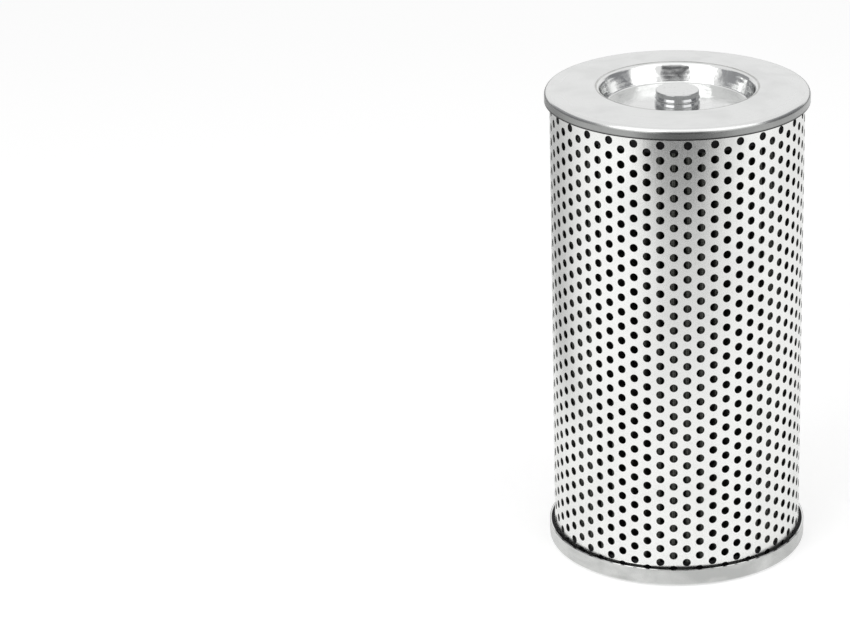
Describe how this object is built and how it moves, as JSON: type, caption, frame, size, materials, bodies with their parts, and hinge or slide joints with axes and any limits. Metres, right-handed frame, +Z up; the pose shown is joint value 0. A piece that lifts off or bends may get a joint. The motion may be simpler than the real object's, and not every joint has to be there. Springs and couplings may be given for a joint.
{
  "type": "hydraulic filter element",
  "caption": "Cylindrical oil filter element: pleated media in a perforated steel tube between a dished closed end cap and an open end cap with a bore.",
  "frame": {"origin": "centre of the open end cap's face, on which the element stands", "axes": "+Z up along the element's axis towards the closed end, -Y towards the viewer of the picture"},
  "size_m": [0.139, 0.139, 0.2559],
  "materials": {
    "perforated_steel": "bright zinc-plated sheet, satin, with fine vertical grain",
    "cap_steel": "pressed tinplate, satin on the face and bright on the drawn walls",
    "turned_steel": "bright turned steel, satin on top and mirror-like on its side",
    "media": "dark glass-fibre media with a fine mesh over it",
    "adhesive": "dark cured adhesive"
  },
  "bodies": {
    "root": {"outer_tube": "perforated_steel", "media_pack": "media", "closed_end_cap": "cap_steel", "open_end_cap": "cap_steel", "centre_button": "turned_steel", "closed_end_potting": "adhesive", "open_end_potting": "adhesive", "closed_end_bead": "adhesive", "open_end_bead": "adhesive"}
  },
  "joints": []
}
